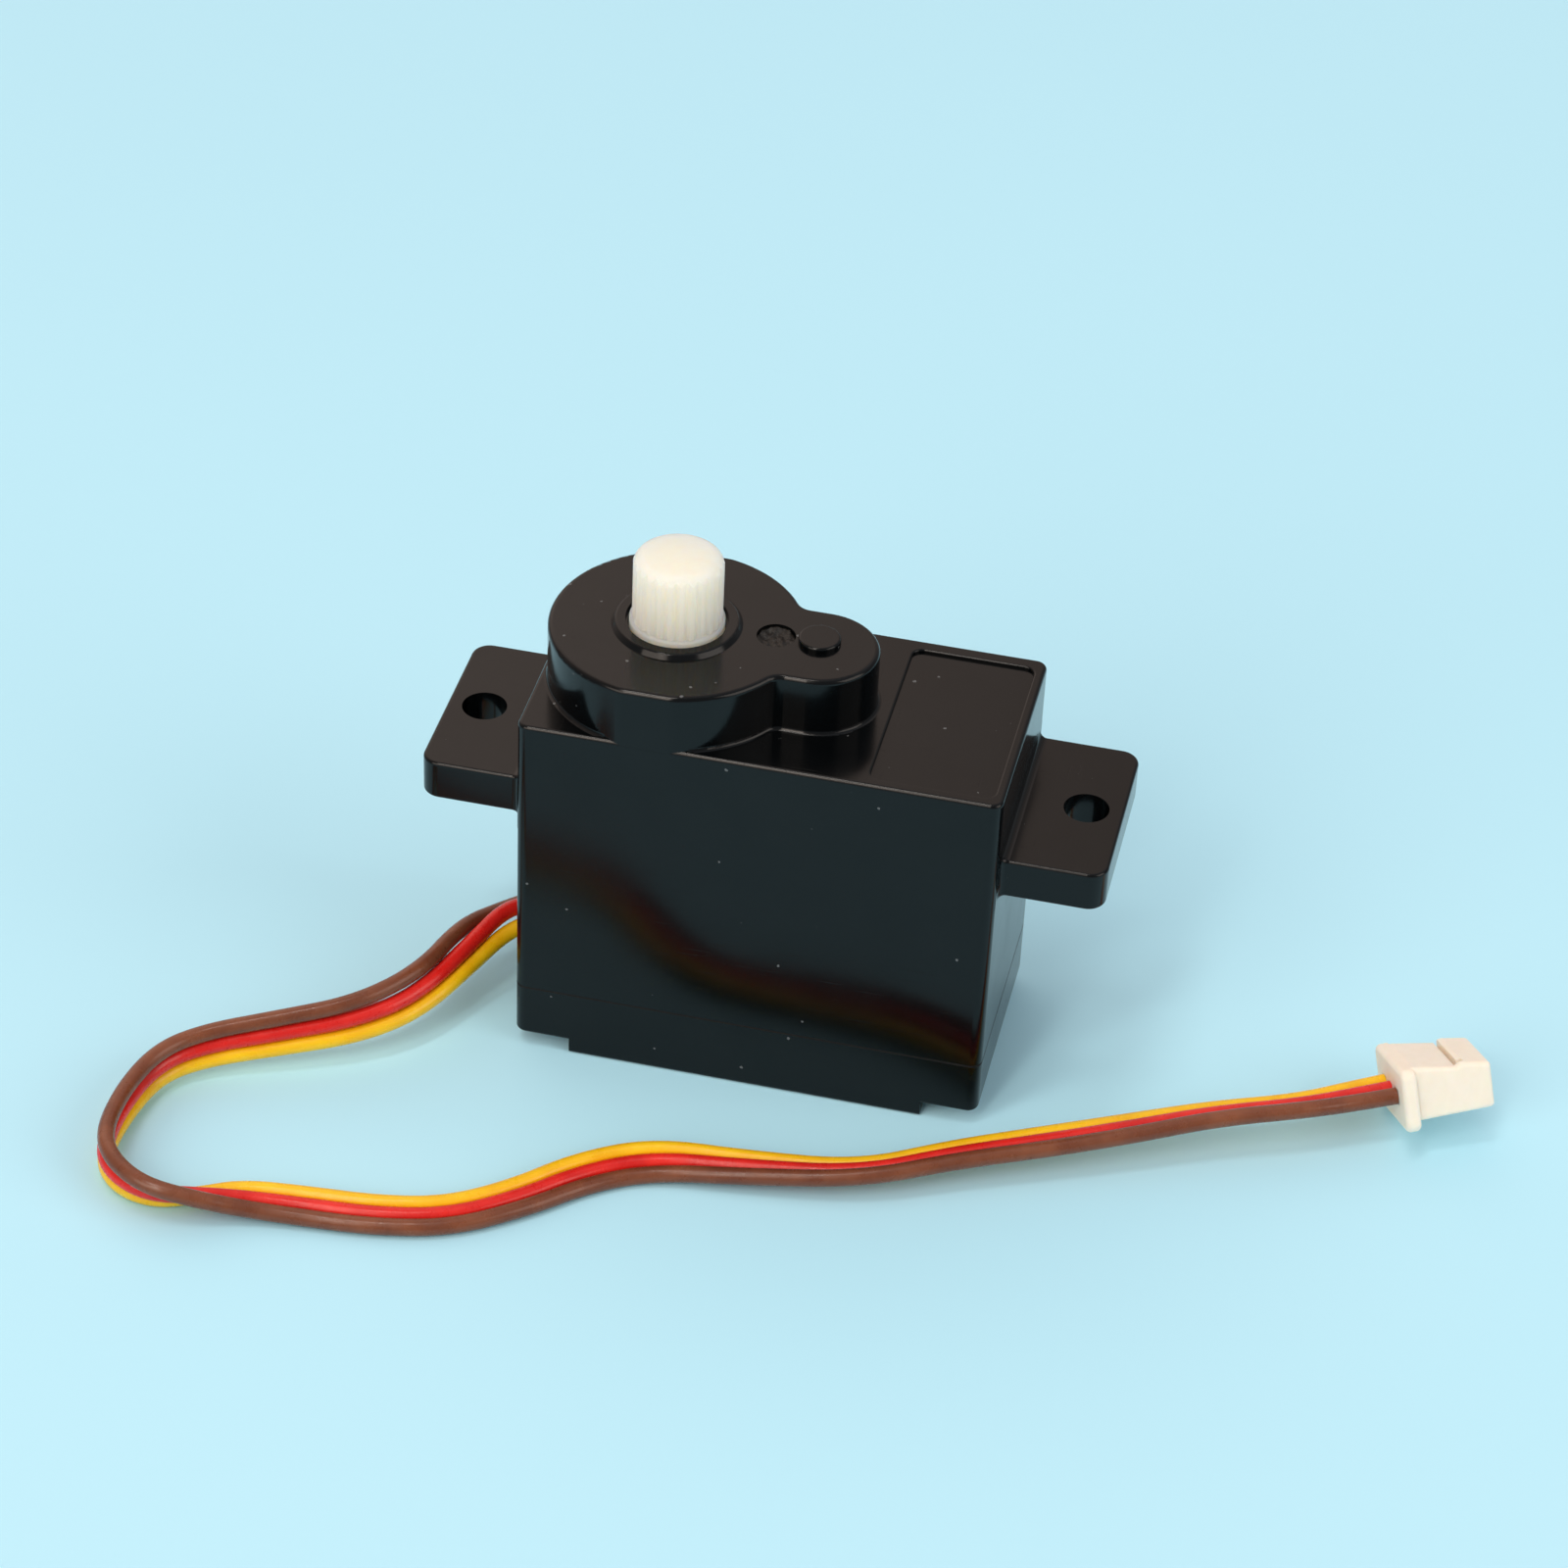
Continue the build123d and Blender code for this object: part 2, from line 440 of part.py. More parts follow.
LEAD = {
    "wire_brown": [
        (-10.60, 0.85, 3.70), (-12.35, 0.92, 3.50), (-13.80, 0.05, 3.15), (-15.11, -2.38, 3.77),
        (-16.09, -6.17, 3.71), (-18.47, -8.92, 3.39), (-21.95, -10.50, 2.92), (-25.09, -11.94, 2.56),
        (-26.85, -13.56, 2.35), (-27.62, -16.35, 2.15), (-27.54, -19.53, 2.12), (-26.51, -21.18, 2.07),
        (-24.59, -22.35, 1.99), (-22.23, -22.20, 1.57), (-20.22, -21.44, 0.80), (-17.49, -21.00, 0.50),
        (-14.08, -20.72, 0.49), (-10.64, -19.84, 0.48), (-7.65, -17.72, 0.53), (-5.16, -15.19, 0.45),
        (-2.44, -13.66, 0.49), (1.84, -13.29, 0.93), (7.22, -12.52, 1.38), (11.43, -10.41, 1.72),
        (15.26, -8.68, 1.85), (19.08, -6.92, 2.12), (22.85, -5.06, 2.48), (26.88, -3.47, 2.61),
    ],
    "wire_red": [
        (-10.60, 0.00, 3.70), (-12.05, -0.05, 3.98), (-13.28, -0.94, 4.13), (-14.43, -3.10, 3.36),
        (-16.06, -6.98, 2.87), (-18.40, -9.03, 2.50), (-21.90, -10.61, 2.11), (-25.08, -11.97, 1.74),
        (-26.87, -13.55, 1.53), (-27.62, -16.35, 1.33), (-27.61, -19.54, 1.25), (-26.52, -21.19, 1.24),
        (-24.59, -22.00, 1.20), (-22.45, -21.49, 1.11), (-20.45, -20.64, 0.66), (-17.58, -20.18, 0.47),
        (-14.22, -19.91, 0.46), (-10.99, -19.10, 0.46), (-8.18, -17.10, 0.48), (-5.66, -14.54, 0.49),
        (-2.66, -12.88, 0.60), (1.75, -12.49, 0.77), (7.01, -11.81, 1.04), (11.10, -9.72, 1.42),
        (14.94, -7.97, 1.60), (18.75, -6.22, 1.84), (22.56, -4.39, 2.11), (26.57, -2.81, 2.23),
    ],
    "wire_yellow": [
        (-10.60, -0.85, 3.70), (-12.00, -0.98, 3.60), (-13.13, -1.81, 3.22), (-14.23, -3.78, 2.59),
        (-15.85, -7.16, 2.07), (-18.30, -9.17, 1.62), (-21.85, -10.73, 1.30), (-25.06, -12.00, 0.92),
        (-26.90, -13.53, 0.71), (-27.62, -16.35, 0.51), (-27.72, -19.35, 0.43), (-26.49, -21.04, 0.43),
        (-24.50, -21.63, 0.44), (-22.56, -20.87, 0.52), (-20.69, -19.77, 0.49), (-17.68, -19.37, 0.44),
        (-14.35, -19.10, 0.43), (-11.33, -18.35, 0.43), (-8.72, -16.48, 0.43), (-6.16, -13.88, 0.53),
        (-2.87, -12.10, 0.70), (1.66, -11.69, 0.61), (6.80, -11.09, 0.70), (10.77, -9.04, 1.12),
        (14.61, -7.26, 1.34), (18.42, -5.52, 1.56), (22.26, -3.71, 1.75), (26.26, -2.16, 1.85),
    ],
}
for name, points in LEAD.items():
    y = {"wire_brown": -PITCH_C, "wire_red": 0.0, "wire_yellow": PITCH_C}[name]
    route = points + [con_point(-1.7, y * 0.93), con_point(0, y)]
    write(name, tube(name, route, WIRE_R))

FL_W, FL_H, FL_T = 4.74, 3.16, 0.76
SLOT_END = 1.6
CB_W, CB_H, CB_L = 3.9, 2.33, 3.74
flange = plate(RectangleRounded(FL_W, FL_H, 0.45), 0, FL_T)
flange = soften(flange, [e for e in flange.edges() if at(e, "Z", 0) or at(e, "Z", FL_T)], (0.26, 0.2, 0.15))
# side outline of the body, (height, distance from the wire face): a ramp falls from the flange
# to the latch slot and a second one to the mating end
side = [(-CB_H / 2, FL_T - 0.3), (-CB_H / 2, FL_T + CB_L), (1.12, FL_T + CB_L), (1.36, 3.2), (1.33, 3.0), (1.2, 2.8), (FL_H / 2, 0.75), (FL_H / 2, FL_T - 0.3)]
core_c = extrude(Plane.YZ * make_face(Polyline(*side, close=True)), CB_W / 2, both=True)
ends = [e for e in core_c.edges() if abs(mid(e).X) > CB_W / 2 - 0.05 and (mid(e).Y > 1.0 or mid(e).Y < -1.1) or at(e, "Z", FL_T + CB_L)]
print("connector body edges", len(ends))
core_c = soften(core_c, ends, (0.22, 0.15, 0.1))
hs = flange + core_c
# profile axes: x of the sketch is the contact row, y the height; turned so that Z becomes the
# connector's long axis
for y in (-PITCH_C, 0.0, PITCH_C):
    hs -= block(y - 0.36, y + 0.36, -0.4, 0.4, -1, 6)
hs -= block(-SLOT_END, 2.5, 0.88, 2.5, 2.78, 2.98)
hs -= block(-SLOT_END, -SLOT_END + 0.34, 0.8, 2.5, 2.78, 3.26)
for y in (-PITCH_C, 0.0, PITCH_C):
    hs -= block(y - 0.3, y + 0.3, -CB_H / 2 - 1, -CB_H / 2 + 0.22, 1.6, 3.9)
turned = Plane(origin=(0, 0, 0), x_dir=(0, 1, 0), z_dir=(1, 0, 0))
place = con_plane.location * turned.location
write("connector_housing", place * hs)
cons = []
for y in (-PITCH_C, 0.0, PITCH_C):
    c = block(y - 0.33, y + 0.33, -0.36, 0.36, 0.0, 1.5) + block(y - 0.3, y + 0.3, -0.36, 0.2, 1.4, 4.2)
    c -= block(y - 0.18, y + 0.18, -0.2, 0.3, 2.2, 5)
    cons.append(place * c)
write("connector_contacts", Compound(children=[c.solid() for c in cons]))
print(len(names), "nodes")
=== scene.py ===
import bpy
import bmesh
import math
import random
from mathutils import Vector, Matrix, noise


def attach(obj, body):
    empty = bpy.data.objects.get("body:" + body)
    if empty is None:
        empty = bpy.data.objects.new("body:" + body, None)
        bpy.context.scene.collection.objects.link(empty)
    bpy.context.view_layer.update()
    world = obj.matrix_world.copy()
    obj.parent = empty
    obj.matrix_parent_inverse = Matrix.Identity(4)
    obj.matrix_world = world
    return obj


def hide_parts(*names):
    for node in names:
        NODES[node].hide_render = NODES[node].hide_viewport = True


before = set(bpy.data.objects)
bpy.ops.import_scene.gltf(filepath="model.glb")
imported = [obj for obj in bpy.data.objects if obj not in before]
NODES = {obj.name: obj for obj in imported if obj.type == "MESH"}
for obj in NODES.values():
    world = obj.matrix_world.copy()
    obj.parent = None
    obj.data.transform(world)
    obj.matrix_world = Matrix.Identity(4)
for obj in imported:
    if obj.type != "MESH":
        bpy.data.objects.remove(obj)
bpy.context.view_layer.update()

MM = 0.001
scene = bpy.context.scene
scene.view_settings.view_transform = "Standard"

# ---- camera ---------------------------------------------------------------------------
cam_data = bpy.data.cameras.new("camera")
cam = bpy.data.objects.new("camera", cam_data)
scene.collection.objects.link(cam)
cam_data.sensor_width = 36.0
cam_data.lens = 106.33
cam_data.clip_start = 0.005
cam_data.clip_end = 20.0
right = Vector((0.974, 0.2233, 0.0389)).normalized()
back = Vector((0.1541, -0.7782, 0.6088)).normalized()
up = back.cross(right).normalized()
right = up.cross(back).normalized()
rot = Matrix((right, up, back)).transposed()
cam.matrix_world = Matrix.Translation(Vector((34.001, -171.009, 147.735)) * MM) @ rot.to_4x4()
scene.camera = cam

# ---- lead: three wires side by side ----------------------------------------------------
YAW, PITCH, ROLL = math.radians(24.6), math.radians(6.6), math.radians(22.3)
CON = Vector((30.55, -0.60, 2.36))
CAX = Vector((math.cos(YAW) * math.cos(PITCH), math.sin(YAW) * math.cos(PITCH), math.sin(PITCH)))
SIDE = Vector((math.sin(YAW), -math.cos(YAW), 0))
UPN = Vector((-math.cos(YAW) * math.sin(PITCH), -math.sin(YAW) * math.sin(PITCH), math.cos(PITCH)))
SIDE2 = SIDE * math.cos(ROLL) + UPN * math.sin(ROLL)
UP2 = UPN * math.cos(ROLL) - SIDE * math.sin(ROLL)


def con_point(x, y, z=0.0):
    return CON + CAX * x - SIDE2 * y + UP2 * z


LEAD = {
    "wire_brown": [
        (-10.60, 0.85, 3.70), (-12.35, 0.92, 3.50), (-13.80, 0.05, 3.15), (-15.11, -2.38, 3.77),
        (-16.09, -6.17, 3.71), (-18.47, -8.92, 3.39), (-21.95, -10.50, 2.92), (-25.09, -11.94, 2.56),
        (-26.85, -13.56, 2.35), (-27.62, -16.35, 2.15), (-27.54, -19.53, 2.12), (-26.51, -21.18, 2.07),
        (-24.59, -22.35, 1.99), (-22.23, -22.20, 1.57), (-20.22, -21.44, 0.80), (-17.49, -21.00, 0.50),
        (-14.08, -20.72, 0.49), (-10.64, -19.84, 0.48), (-7.65, -17.72, 0.53), (-5.16, -15.19, 0.45),
        (-2.44, -13.66, 0.49), (1.84, -13.29, 0.93), (7.22, -12.52, 1.38), (11.43, -10.41, 1.72),
        (15.26, -8.68, 1.85), (19.08, -6.92, 2.12), (22.85, -5.06, 2.48), (26.88, -3.47, 2.61),
    ],
    "wire_red": [
        (-10.60, 0.00, 3.70), (-12.05, -0.05, 3.98), (-13.28, -0.94, 4.13), (-14.43, -3.10, 3.36),
        (-16.06, -6.98, 2.87), (-18.40, -9.03, 2.50), (-21.90, -10.61, 2.11), (-25.08, -11.97, 1.74),
        (-26.87, -13.55, 1.53), (-27.62, -16.35, 1.33), (-27.61, -19.54, 1.25), (-26.52, -21.19, 1.24),
        (-24.59, -22.00, 1.20), (-22.45, -21.49, 1.11), (-20.45, -20.64, 0.66), (-17.58, -20.18, 0.47),
        (-14.22, -19.91, 0.46), (-10.99, -19.10, 0.46), (-8.18, -17.10, 0.48), (-5.66, -14.54, 0.49),
        (-2.66, -12.88, 0.60), (1.75, -12.49, 0.77), (7.01, -11.81, 1.04), (11.10, -9.72, 1.42),
        (14.94, -7.97, 1.60), (18.75, -6.22, 1.84), (22.56, -4.39, 2.11), (26.57, -2.81, 2.23),
    ],
    "wire_yellow": [
        (-10.60, -0.85, 3.70), (-12.00, -0.98, 3.60), (-13.13, -1.81, 3.22), (-14.23, -3.78, 2.59),
        (-15.85, -7.16, 2.07), (-18.30, -9.17, 1.62), (-21.85, -10.73, 1.30), (-25.06, -12.00, 0.92),
        (-26.90, -13.53, 0.71), (-27.62, -16.35, 0.51), (-27.72, -19.35, 0.43), (-26.49, -21.04, 0.43),
        (-24.50, -21.63, 0.44), (-22.56, -20.87, 0.52), (-20.69, -19.77, 0.49), (-17.68, -19.37, 0.44),
        (-14.35, -19.10, 0.43), (-11.33, -18.35, 0.43), (-8.72, -16.48, 0.43), (-6.16, -13.88, 0.53),
        (-2.87, -12.10, 0.70), (1.66, -11.69, 0.61), (6.80, -11.09, 0.70), (10.77, -9.04, 1.12),
        (14.61, -7.26, 1.34), (18.42, -5.52, 1.56), (22.26, -3.71, 1.75), (26.26, -2.16, 1.85),
    ],
}
ENDS = {"wire_brown": -1.0, "wire_red": 0.0, "wire_yellow": 1.0}
WIRE_D = 0.82 * MM


def wire(name):
    data = bpy.data.curves.new(name + "_line", "CURVE")
    data.dimensions = "3D"
    data.resolution_u = 14
    data.bevel_depth = 1.0
    data.bevel_resolution = 7
    data.use_fill_caps = True
    points = [Vector(p) for p in LEAD[name]]
    points += [con_point(-1.7, ENDS[name] * 0.93), con_point(0, ENDS[name])]
    spline = data.splines.new("NURBS")
    spline.points.add(len(points) - 1)
    for slot, p in zip(spline.points, points):
        slot.co = (*(p * MM), 1.0)
        slot.radius = WIRE_D / 2
    spline.order_u = 3
    spline.use_endpoint_u = True
    obj = bpy.data.objects.new(name + "_insulated", data)
    scene.collection.objects.link(obj)
    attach(obj, "root")
    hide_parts(name)
    return obj


wires = {name: wire(name) for name in LEAD}

# ---- material helpers --------------------------------------------------------------------


class Mat:
    """A node material on object coordinates scaled to millimetres."""

    def __init__(self, name):
        self.m = bpy.data.materials.new(name)
        self.m.use_nodes = True
        self.t = self.m.node_tree
        self.t.nodes.clear()
        self.out = self.t.nodes.new("ShaderNodeOutputMaterial")
        self.p = self.t.nodes.new("ShaderNodeBsdfPrincipled")
        self.t.links.new(self.p.outputs[0], self.out.inputs[0])
        tc = self.t.nodes.new("ShaderNodeTexCoord")
        mp = self.t.nodes.new("ShaderNodeMapping")
        mp.inputs["Scale"].default_value = (1000, 1000, 1000)
        self.t.links.new(tc.outputs["Object"], mp.inputs["Vector"])
        self.co = mp.outputs["Vector"]

    def set(self, **values):
        for k, v in values.items():
            self.p.inputs[k.replace("_", " ")].default_value = v
        return self

    def node(self, kind, **values):
        n = self.t.nodes.new(kind)
        for k, v in values.items():
            if k in n.inputs:
                n.inputs[k].default_value = v
            else:
                setattr(n, k, v)
        return n

    def link(self, a, b):
        self.t.links.new(a, b)

    def mapped(self, scale=(1, 1, 1), rot=(0, 0, 0), loc=(0, 0, 0)):
        n = self.node("ShaderNodeMapping")
        n.inputs["Scale"].default_value = scale
        n.inputs["Rotation"].default_value = rot
        n.inputs["Location"].default_value = loc
        self.link(self.co, n.inputs["Vector"])
        return n.outputs["Vector"]

    def noise(self, scale, detail=3.0, rough=0.5, co=None, distortion=0.0):
        n = self.node("ShaderNodeTexNoise")
        n.inputs["Scale"].default_value = scale
        n.inputs["Detail"].default_value = detail
        n.inputs["Roughness"].default_value = rough
        n.inputs["Distortion"].default_value = distortion
        self.link(co or self.co, n.inputs["Vector"])
        return n.outputs["Fac"]

    def ramp(self, fac, stops, interp="LINEAR"):
        n = self.node("ShaderNodeValToRGB")
        n.color_ramp.interpolation = interp
        e = n.color_ramp.elements
        while len(e) < len(stops):
            e.new(0.5)
        for el, (pos, col) in zip(e, stops):
            el.position = pos
            el.color = (*col, 1.0) if len(col) == 3 else col
        self.link(fac, n.inputs[0])
        return n.outputs[0]

    def val(self, fac, lo, hi, a=0.0, b=1.0):
        n = self.node("ShaderNodeMapRange")
        n.inputs["From Min"].default_value = a
        n.inputs["From Max"].default_value = b
        n.inputs["To Min"].default_value = lo
        n.inputs["To Max"].default_value = hi
        self.link(fac, n.inputs["Value"])
        return n.outputs[0]

    def math(self, op, a, b=None, clamp=False):
        n = self.node("ShaderNodeMath", operation=op, use_clamp=clamp)
        for i, v in enumerate((a, b)):
            if v is None:
                continue
            if isinstance(v, (int, float)):
                n.inputs[i].default_value = v
            else:
                self.link(v, n.inputs[i])
        return n.outputs[0]

    def mix(self, fac, a, b):
        n = self.node("ShaderNodeMix", data_type="RGBA")
        if isinstance(fac, (int, float)):
            n.inputs[0].default_value = fac
        else:
            self.link(fac, n.inputs[0])
        for i, v in ((6, a), (7, b)):
            if isinstance(v, tuple):
                n.inputs[i].default_value = (*v, 1.0)
            else:
                self.link(v, n.inputs[i])
        return n.outputs[2]

    def bump(self, height, strength=0.2, distance=0.05, normal=None):
        n = self.node("ShaderNodeBump")
        n.inputs["Strength"].default_value = strength
        n.inputs["Distance"].default_value = distance * MM
        self.link(height, n.inputs["Height"])
        if normal is not None:
            self.link(normal, n.inputs["Normal"])
        return n.outputs[0]

    def into(self, **links):
        for k, v in links.items():
            self.link(v, self.p.inputs[k.replace("_", " ")])
        return self


def specks(m, cell, keep, size, seed=0.0):
    """A mask of small separate specks: cells of a Voronoi pattern, a share of which hold one."""
    wob = m.node("ShaderNodeTexNoise")
    wob.inputs["Scale"].default_value = 6.0
    wob.inputs["Detail"].default_value = 2.0
    m.link(m.co, wob.inputs["Vector"])
    add = m.node("ShaderNodeVectorMath", operation="MULTIPLY_ADD")
    m.link(wob.outputs["Color"], add.inputs[0])
    add.inputs[1].default_value = (0.12, 0.12, 0.12)
    m.link(m.mapped(loc=(seed, seed * 1.7, seed * 0.3)), add.inputs[2])
    v = m.node("ShaderNodeTexVoronoi", feature="F1")
    v.inputs["Scale"].default_value = cell
    m.link(add.outputs[0], v.inputs["Vector"])
    sep = m.node("ShaderNodeSeparateColor")
    m.link(v.outputs["Color"], sep.inputs[0])
    chosen = m.math("GREATER_THAN", sep.outputs[0], 1.0 - keep)
    radius = m.val(sep.outputs[1], size * 0.4, size)
    inside = m.math("LESS_THAN", v.outputs["Distance"], radius)
    return m.math("MULTIPLY", chosen, inside)


def black_plastic(name, seed, dust=0.35):
    m = Mat(name)
    m.set(IOR=1.46, Specular_IOR_Level=0.29)
    tone = m.noise(0.35, 4, 0.55, co=m.mapped(loc=(seed, 0, seed)))
    base = m.ramp(tone, [(0.3, (0.0009, 0.0014, 0.0018)), (0.7, (0.0020, 0.0026, 0.0031))])
    dots = specks(m, 0.95, dust, 0.095, seed)
    fine = specks(m, 1.6, 0.22, 0.055, seed + 7.3)
    dirt = m.math("MAXIMUM", dots, m.math("MULTIPLY", fine, 0.35))
    colour = m.mix(m.math("MULTIPLY", dirt, 0.65), base, (0.17, 0.18, 0.19))
    # hair scratches, long one way and thin the other
    s1 = m.noise(1.0, 2, 0.6, co=m.mapped(scale=(0.25, 9.0, 7.0), rot=(0.3, 0.2, 0.5), loc=(seed, 1, 2)))
    s2 = m.noise(1.0, 2, 0.6, co=m.mapped(scale=(8.0, 0.3, 6.0), rot=(0.1, 0.5, -0.4), loc=(3, seed, 1)))
    hair = m.math("ADD", m.val(s1, 0, 1, 0.66, 0.74), m.val(s2, 0, 1, 0.67, 0.75))
    haze = m.noise(0.12, 3, 0.6, co=m.mapped(loc=(seed * 2, 4, 1)))
    rough = m.val(haze, 0.12, 0.20, 0.3, 0.7)
    rough = m.math("ADD", rough, m.math("MULTIPLY", hair, 0.10))
    rough = m.math("ADD", rough, m.math("MULTIPLY", dirt, 0.35))
    # the joint between the two shells is dull, with a little dust in it
    sep = m.node("ShaderNodeSeparateXYZ")
    m.link(m.co, sep.inputs[0])
    joint = m.val(m.math("ABSOLUTE", m.math("SUBTRACT", sep.outputs[2], 3.65)), 1.0, 0.0, 0.035, 0.075)
    rough = m.math("ADD", rough, m.math("MULTIPLY", joint, 0.50), clamp=True)
    wave = m.noise(0.16, 2, 0.45, co=m.mapped(loc=(seed, seed, 5)))
    peel = m.noise(5.5, 3, 0.55)
    n1 = m.bump(wave, 0.35, 0.05)
    n2 = m.bump(peel, 0.05, 0.01, n1)
    n3 = m.bump(m.math("ADD", dirt, m.math("MULTIPLY", hair, -0.15)), 0.5, 0.012, n2)
    m.into(Base_Color=colour, Roughness=rough, Normal=n3)
    return m.m


def soft_white(name, lo, hi, rough=0.42, sss=0.35, seed=0.0, grain=4.0, depth=0.0007, shine=0.45):
    m = Mat(name)
    m.set(IOR=1.5, Subsurface_Weight=sss, Subsurface_Scale=depth, Specular_IOR_Level=shine)
    m.p.inputs["Subsurface Radius"].default_value = (1.0, 0.75, 0.5)
    tone = m.noise(0.9, 4, 0.6, co=m.mapped(loc=(seed, 2, 1)))
    streak = m.noise(1.0, 3, 0.5, co=m.mapped(scale=(2.2, 2.2, 0.35), loc=(seed, seed, 3)))
    base = m.ramp(m.math("MULTIPLY", m.math("ADD", tone, streak), 0.5), [(0.35, lo), (0.65, hi)])
    dirt = specks(m, 1.1, 0.12, 0.045, seed)
    base = m.mix(m.math("MULTIPLY", dirt, 0.30), base, (0.45, 0.36, 0.27))
    r = m.val(m.noise(grain, 3, 0.6), rough - 0.06, rough + 0.08, 0.3, 0.7)
    n = m.bump(m.noise(grain * 2.2, 3, 0.6), 0.12, 0.02)
    n = m.bump(m.noise(0.7, 2, 0.5, co=m.mapped(loc=(seed, 1, 9))), 0.2, 0.05, n)
    m.into(Base_Color=base, Roughness=r, Normal=n)
    return m.m


def pvc(name, lo, hi, seed, rough=0.27):
    m = Mat(name)
    m.set(IOR=1.5, Specular_IOR_Level=0.34, Subsurface_Weight=0.10, Subsurface_Scale=0.0003, Coat_Weight=0.12, Coat_Roughness=0.16)
    m.p.inputs["Subsurface Radius"].default_value = (1.0, 0.35, 0.2)
    tone = m.noise(0.5, 4, 0.6, co=m.mapped(loc=(seed, 0, 2)))
    base = m.ramp(tone, [(0.33, lo), (0.67, hi)])
    rub = m.noise(1.0, 3, 0.6, co=m.mapped(scale=(1.2, 1.2, 1.2), loc=(seed, 5, 2)))
    grime = specks(m, 1.3, 0.16, 0.06, seed)
    base = m.mix(m.math("MULTIPLY", grime, 0.35), base, (0.10, 0.07, 0.05))
    r = m.val(rub, rough - 0.07, rough + 0.12, 0.3, 0.7)
    n = m.bump(m.noise(3.0, 3, 0.5), 0.16, 0.02)
    n = m.bump(m.noise(0.8, 2, 0.5, co=m.mapped(loc=(seed, 3, 3))), 0.25, 0.05, n)
    m.into(Base_Color=base, Roughness=r, Normal=n)
    return m.m


def metal(name, lo, hi, rough, seed, brushed=(0.4, 0.4, 8.0), coat=0.0):
    m = Mat(name)
    m.set(Metallic=1.0)
    grainy = m.noise(1.0, 4, 0.6, co=m.mapped(scale=brushed, loc=(seed, 1, 1)))
    base = m.ramp(m.noise(0.6, 4, 0.6, co=m.mapped(loc=(seed, 0, 0))), [(0.3, lo), (0.7, hi)])
    r = m.val(grainy, rough - 0.08, rough + 0.12, 0.3, 0.7)
    n = m.bump(grainy, 0.18, 0.01)
    m.into(Base_Color=base, Roughness=r, Normal=n)
    return m.m


def dull(name, lo, hi, rough, seed, grain=3.0, bump=0.2):
    m = Mat(name)
    m.set(IOR=1.5, Specular_IOR_Level=0.4)
    base = m.ramp(m.noise(grain * 0.3, 4, 0.6, co=m.mapped(loc=(seed, 0, 0))), [(0.3, lo), (0.7, hi)])
    r = m.val(m.noise(grain, 3, 0.6), rough - 0.07, rough + 0.1, 0.3, 0.7)
    n = m.bump(m.noise(grain * 2, 3, 0.6), bump, 0.02)
    m.into(Base_Color=base, Roughness=r, Normal=n)
    return m.m


def laminated(name):
    m = Mat(name)
    m.set(Metallic=0.9)
    sep = m.node("ShaderNodeSeparateXYZ")
    m.link(m.co, sep.inputs[0])
    band = m.math("FRACT", m.math("MULTIPLY", sep.outputs[2], 2.8))
    edge = m.val(band, 0, 1, 0.05, 0.2)
    base = m.mix(edge, (0.08, 0.08, 0.09), (0.42, 0.42, 0.43))
    r = m.val(m.noise(4, 3), 0.35, 0.55)
    m.into(Base_Color=base, Roughness=r, Normal=m.bump(edge, 0.5, 0.03))
    return m.m


def windings(name):
    m = Mat(name)
    m.set(Metallic=0.85, Coat_Weight=0.4, Coat_Roughness=0.15)
    sep = m.node("ShaderNodeSeparateXYZ")
    m.link(m.co, sep.inputs[0])
    band = m.math("SINE", m.math("MULTIPLY", m.math("ADD", sep.outputs[0], sep.outputs[1]), 38.0))
    # the copper colour runs dark in the troughs between the turns: painted shade between the wires, on top of the
    # bump
    base = m.ramp(m.val(band, 0, 1, -1, 1), [(0.1, (0.16, 0.045, 0.018)), (0.8, (0.62, 0.22, 0.09))])
    m.into(Base_Color=base, Roughness=m.val(m.noise(3, 3), 0.25, 0.4), Normal=m.bump(band, 0.6, 0.03))
    return m.m


def board(name):
    m = Mat(name)
    m.set(IOR=1.5, Coat_Weight=0.5, Coat_Roughness=0.12)
    b = m.node("ShaderNodeTexBrick")
    b.inputs["Scale"].default_value = 1.0
    b.inputs["Mortar Size"].default_value = 0.06
    b.inputs["Brick Width"].default_value = 2.2
    b.inputs["Row Height"].default_value = 0.7
    b.inputs["Color1"].default_value = (0.010, 0.085, 0.035, 1)
    b.inputs["Color2"].default_value = (0.012, 0.10, 0.045, 1)
    b.inputs["Mortar"].default_value = (0.03, 0.20, 0.08, 1)
    m.link(m.co, b.inputs["Vector"])
    base = m.mix(m.val(m.noise(2.0, 3), 0, 0.4), b.outputs["Color"], (0.02, 0.12, 0.06))
    m.into(Base_Color=base, Roughness=m.val(m.noise(5, 3), 0.3, 0.45), Normal=m.bump(b.outputs["Fac"], 0.3, 0.02))
    return m.m


